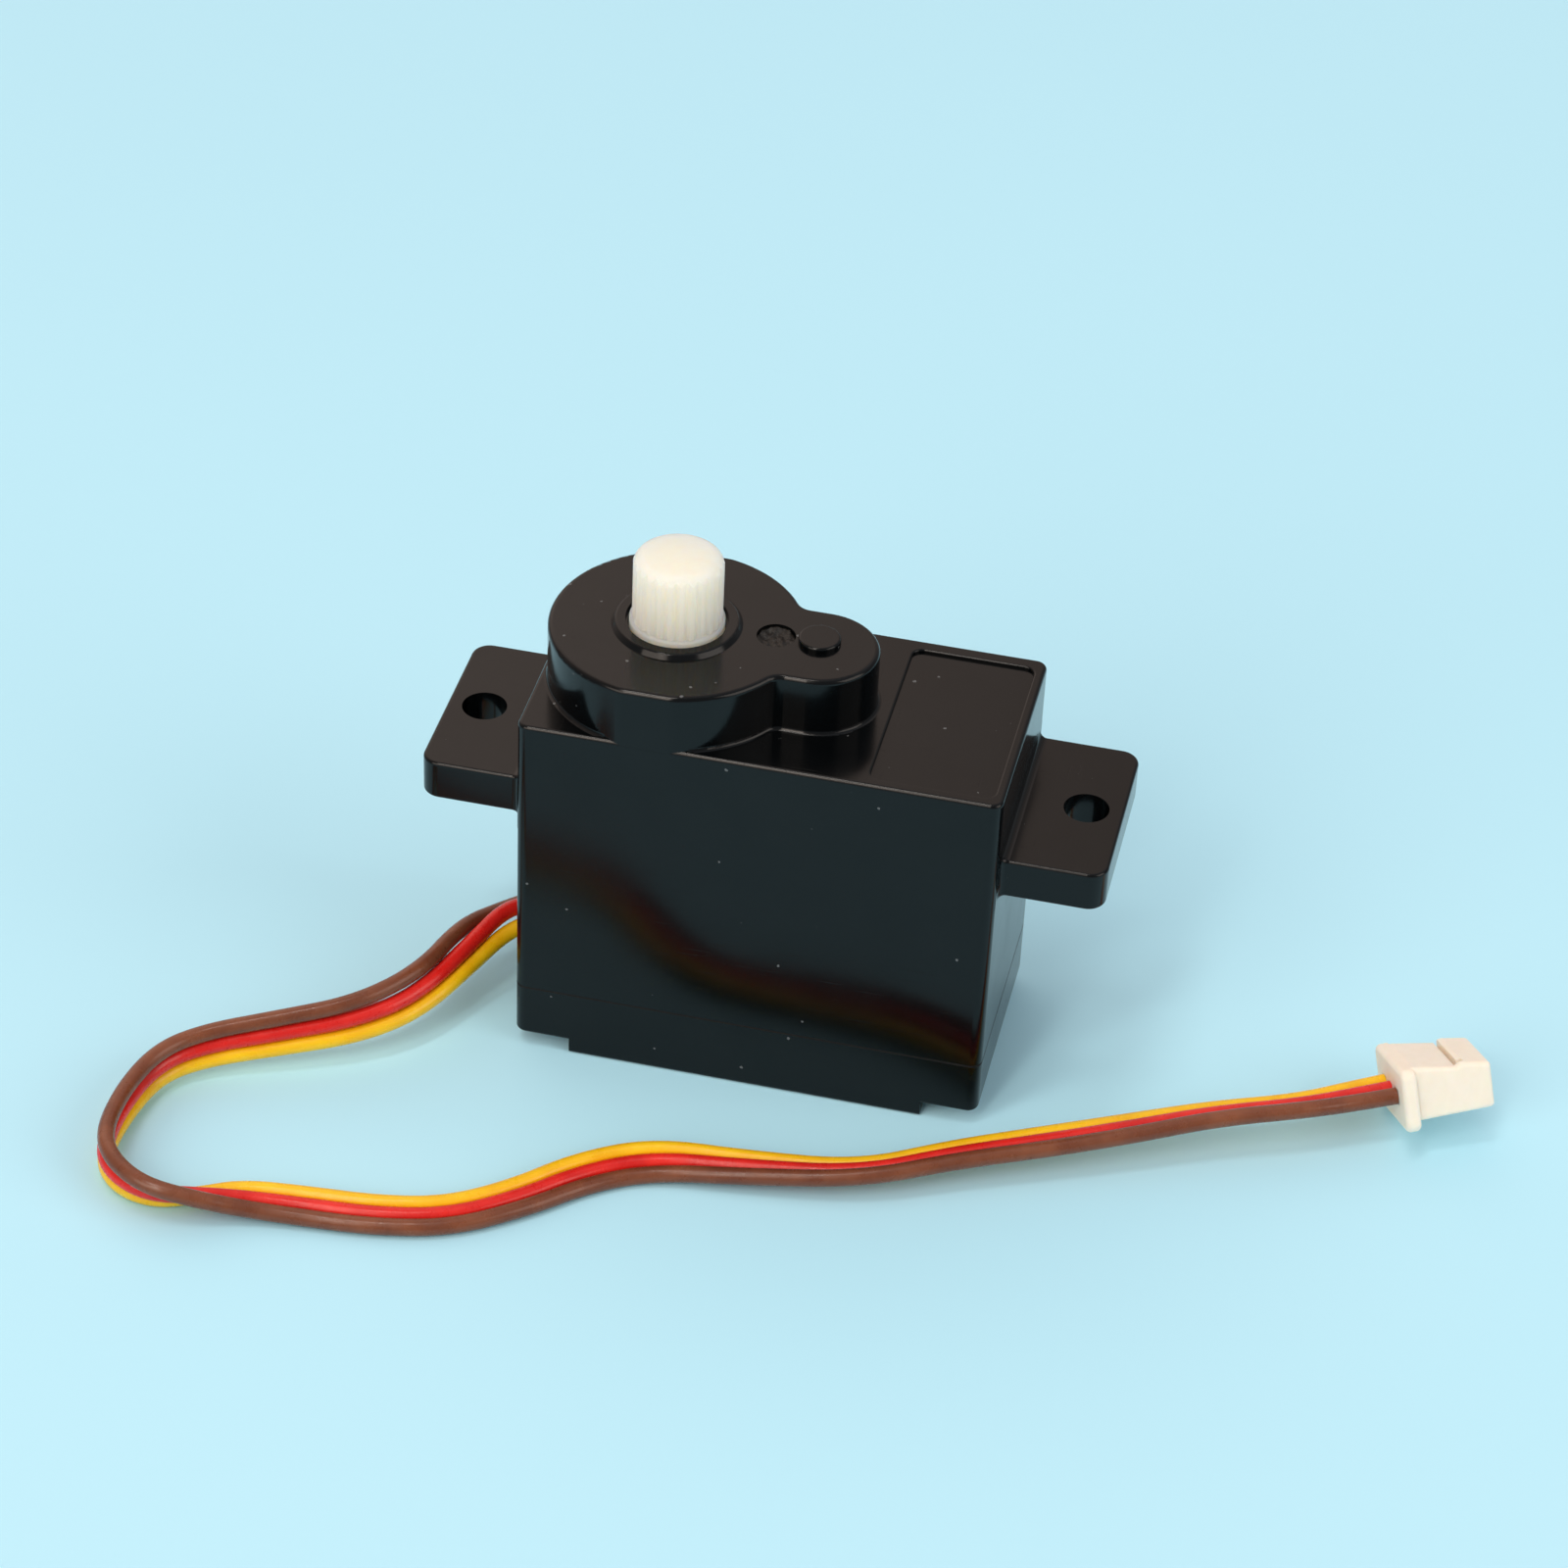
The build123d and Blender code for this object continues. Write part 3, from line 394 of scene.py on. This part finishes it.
MATS = {
    "upper_case": black_plastic("black_plastic_case", 1.3, 0.42),
    "bottom_cover": black_plastic("black_plastic_cover", 5.1),
    "gear_plate": black_plastic("black_plastic_plate", 9.4, 0.1),
    "output_gear_shaft": soft_white("white_nylon_output", (1.0, 0.800, 0.665), (1.0, 0.830, 0.705), 0.50, 1.0, 2.0, 4.0, 0.0070, 0.25),
    "first_gear": soft_white("white_nylon_first", (0.78, 0.74, 0.66), (0.88, 0.85, 0.78), 0.4, 0.3, 4.0),
    "second_gear": soft_white("white_nylon_second", (0.80, 0.76, 0.68), (0.90, 0.87, 0.80), 0.4, 0.3, 6.0),
    "third_gear": soft_white("white_nylon_third", (0.79, 0.75, 0.66), (0.89, 0.86, 0.79), 0.4, 0.3, 8.0),
    "connector_housing": soft_white("cream_plastic", (0.890, 0.800, 0.680), (0.928, 0.842, 0.732), 0.42, 0.45, 11.0, 3.0, 0.0006, 0.35),
    "idler_pin": metal("polished_pin", (0.52, 0.52, 0.53), (0.66, 0.66, 0.67), 0.2, 1),
    "motor_shaft": metal("ground_shaft", (0.50, 0.50, 0.51), (0.64, 0.64, 0.65), 0.2, 2),
    "pot_shaft": metal("turned_shaft", (0.50, 0.50, 0.51), (0.62, 0.62, 0.63), 0.25, 3),
    "motor_can": metal("plated_can", (0.55, 0.55, 0.54), (0.70, 0.70, 0.68), 0.24, 4, (0.3, 0.3, 5.0)),
    "motor_front_bushing": metal("sintered_bronze", (0.42, 0.27, 0.12), (0.60, 0.42, 0.20), 0.45, 5, (4, 4, 4)),
    "motor_pinion": metal("brass_pinion", (0.62, 0.42, 0.14), (0.80, 0.60, 0.26), 0.25, 6),
    "motor_brushes": metal("spring_brass", (0.55, 0.38, 0.14), (0.72, 0.54, 0.24), 0.3, 7),
    "motor_terminals": metal("terminal_brass", (0.60, 0.45, 0.20), (0.76, 0.60, 0.32), 0.3, 8),
    "commutator": metal("copper_segments", (0.50, 0.20, 0.09), (0.72, 0.34, 0.18), 0.3, 9),
    "pot_wiper": metal("wiper_spring", (0.60, 0.48, 0.26), (0.78, 0.64, 0.38), 0.28, 10),
    "pot_terminals": metal("tinned_pins", (0.60, 0.60, 0.58), (0.76, 0.76, 0.73), 0.32, 11),
    "connector_contacts": metal("tinned_contacts", (0.60, 0.60, 0.57), (0.78, 0.78, 0.74), 0.3, 12),
    "lead_tails": metal("tinned_strands", (0.50, 0.42, 0.34), (0.74, 0.70, 0.64), 0.35, 13, (0.5, 9, 9)),
    "case_screws": metal("zinc_screws", (0.30, 0.30, 0.31), (0.48, 0.48, 0.49), 0.34, 14),
    "motor_magnets": dull("ferrite", (0.028, 0.026, 0.026), (0.055, 0.052, 0.050), 0.55, 15, 5),
    "armature_core": laminated("laminations"),
    "armature_windings": windings("enamelled_copper"),
    "motor_end_cap": dull("motor_cap_plastic", (0.012, 0.012, 0.014), (0.022, 0.022, 0.025), 0.45, 16),
    "pot_housing": dull("pot_plastic", (0.012, 0.030, 0.085), (0.020, 0.045, 0.115), 0.42, 17),
    "pot_track": dull("phenolic", (0.10, 0.045, 0.016), (0.20, 0.10, 0.04), 0.5, 18, 6),
    "control_board": board("solder_mask"),
    "driver_ic": dull("chip_epoxy", (0.010, 0.010, 0.010), (0.018, 0.018, 0.018), 0.5, 19, 8),
    "board_parts": dull("chip_parts", (0.05, 0.045, 0.04), (0.16, 0.13, 0.10), 0.45, 20, 1.2),
}
for node, mat in MATS.items():
    obj = NODES[node]
    if not obj.material_slots:
        obj.data.materials.append(mat)
    for s in obj.material_slots:
        s.material = mat
WIRE_MATS = {
    "wire_brown": pvc("pvc_brown", (0.140, 0.040, 0.018), (0.215, 0.068, 0.030), 1.0),
    "wire_red": pvc("pvc_red", (0.60, 0.011, 0.009), (0.78, 0.024, 0.017), 2.0),
    "wire_yellow": pvc("pvc_yellow", (0.84, 0.46, 0.004), (0.93, 0.58, 0.010), 3.0),
}
for name, obj in wires.items():
    obj.data.materials.append(WIRE_MATS[name])

# ---- torn gate stub in the round recess beside the shaft ------------------------------------
GATE = Vector((-0.62, 0.25, 22.3))


def gate_stub():
    rings, spokes, r_max, floor_z = 13, 52, 0.90, -0.46
    bm = bmesh.new()

    def height(x, y):
        v = Vector((x * 2.3, y * 2.3, 4.7))
        h = noise.fractal(v, 0.75, 2.2, 4)
        ridge = 1.0 - abs(noise.noise(Vector((x * 3.4 + 7, y * 3.4, 1.3))))
        r = math.hypot(x, y)
        bowl = 0.16 * (r / r_max) ** 2
        nub = 0.13 * math.exp(-((x - 0.18) ** 2 + (y + 0.10) ** 2) / 0.07)
        h = -0.33 + 0.12 * h + 0.10 * (ridge - 0.75) + bowl + nub
        return max(-0.40, min(-0.045, h)) if r < 0.86 else max(-0.40, min(-0.10, h))

    centre_top = bm.verts.new((0, 0, height(0, 0)))
    centre_low = bm.verts.new((0, 0, floor_z))
    top, low = [], []
    for i in range(1, rings + 1):
        r = r_max * i / rings
        top.append([bm.verts.new((r * math.cos(t), r * math.sin(t), height(r * math.cos(t), r * math.sin(t))))
                    for t in (2 * math.pi * k / spokes for k in range(spokes))])
    low = [bm.verts.new((r_max * math.cos(2 * math.pi * k / spokes), r_max * math.sin(2 * math.pi * k / spokes), floor_z))
           for k in range(spokes)]
    for k in range(spokes):
        n = (k + 1) % spokes
        bm.faces.new((centre_top, top[0][k], top[0][n]))
        for i in range(rings - 1):
            bm.faces.new((top[i][k], top[i + 1][k], top[i + 1][n], top[i][n]))
        bm.faces.new((top[-1][k], low[k], low[n], top[-1][n]))
        bm.faces.new((centre_low, low[n], low[k]))
    bmesh.ops.scale(bm, vec=(MM, MM, MM), verts=bm.verts)
    bmesh.ops.translate(bm, vec=GATE * MM, verts=bm.verts)
    bmesh.ops.recalc_face_normals(bm, faces=bm.faces)
    me = bpy.data.meshes.new("gate_stub")
    bm.to_mesh(me)
    bm.free()
    for poly in me.polygons:
        poly.use_smooth = True
    obj = bpy.data.objects.new("gate_stub", me)
    scene.collection.objects.link(obj)
    m = Mat("torn_black_plastic")
    m.set(IOR=1.46, Specular_IOR_Level=0.35)
    base = m.ramp(m.noise(6.0, 4, 0.6), [(0.35, (0.003, 0.003, 0.003)), (0.75, (0.020, 0.017, 0.014))])
    m.into(Base_Color=base, Roughness=m.val(m.noise(9.0, 3, 0.6), 0.22, 0.5, 0.3, 0.7),
           Normal=m.bump(m.noise(7.0, 5, 0.7), 0.6, 0.05))
    me.materials.append(m.m)
    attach(obj, "root")
    return obj


gate_stub()

# ---- stage, light, world -------------------------------------------------------------------
FLOOR = (0.480, 0.828, 0.995)


def stage_floor():
    bm = bmesh.new()
    bmesh.ops.create_grid(bm, x_segments=8, y_segments=8, size=3.0)
    me = bpy.data.meshes.new("stage_floor")
    bm.to_mesh(me)
    bm.free()
    obj = bpy.data.objects.new("stage_floor", me)
    scene.collection.objects.link(obj)
    m = Mat("pale_cyan_card")
    m.set(Specular_IOR_Level=0.15, IOR=1.4)
    tone = m.noise(0.010, 3, 0.5)
    m.into(Base_Color=m.ramp(tone, [(0.3, tuple(c * 0.985 for c in FLOOR)), (0.7, FLOOR)]),
           Roughness=m.val(m.noise(0.8, 3), 0.55, 0.75), Normal=m.bump(m.noise(4.0, 3, 0.6), 0.06, 0.02))
    me.materials.append(m.m)
    return obj


stage_floor()


def area(name, loc, target, size, power, colour=(1, 1, 1), size_y=None):
    d = bpy.data.lights.new(name, "AREA")
    d.shape = "RECTANGLE" if size_y else "SQUARE"
    d.size = size
    if size_y:
        d.size_y = size_y
    d.energy = power
    d.color = colour
    o = bpy.data.objects.new(name, d)
    scene.collection.objects.link(o)
    o.location = loc
    o.rotation_euler = (Vector(target) - Vector(loc)).to_track_quat("-Z", "Y").to_euler()
    return o


area("key", (-0.16, -0.20, 1.02), (0, 0, 0), 0.085, 1.9, (1.0, 0.94, 0.87), 0.42)
area("front_strip", (-0.165, -0.60, 0.82), (0, 0, 0.01), 0.09, 1.6, (1.0, 0.89, 0.79), 0.46)
area("softbox_top", (0.24, 0.34, 0.94), (0, 0, 0), 1.05, 0.75, (0.86, 1.0, 1.16))
area("front_fill", (-0.42, -0.82, 0.56), (0, 0, 0.01), 0.70, 4.9, (1.0, 0.86, 0.74))
area("side_fill", (0.86, -0.20, 0.50), (0, 0, 0.015), 0.70, 3.8, (1.0, 0.91, 0.83))

world = bpy.data.worlds.new("studio")
scene.world = world
world.use_nodes = True
wt = world.node_tree
wt.nodes.clear()
wo = wt.nodes.new("ShaderNodeOutputWorld")
bg = wt.nodes.new("ShaderNodeBackground")
tc = wt.nodes.new("ShaderNodeTexCoord")
dp = wt.nodes.new("ShaderNodeVectorMath")
dp.operation = "DOT_PRODUCT"
dp.inputs[1].default_value = Vector((-0.50, 0.62, 0.60)).normalized()
rp = wt.nodes.new("ShaderNodeValToRGB")
wt.links.new(tc.outputs["Generated"], dp.inputs[0])
wt.links.new(dp.outputs["Value"], rp.inputs[0])
wt.links.new(rp.outputs[0], bg.inputs[0])
wt.links.new(bg.outputs[0], wo.inputs[0])
e = rp.color_ramp.elements
e[0].position, e[0].color = 0.0, (0.21, 0.215, 0.225, 1)
e[1].position, e[1].color = 0.955, (1.0, 0.82, 0.72, 1)
low = e.new(0.45)
low.color = (0.24, 0.24, 0.245, 1)
near = e.new(0.885)
near.color = (0.50, 0.40, 0.35, 1)
bg.inputs["Strength"].default_value = 1.35
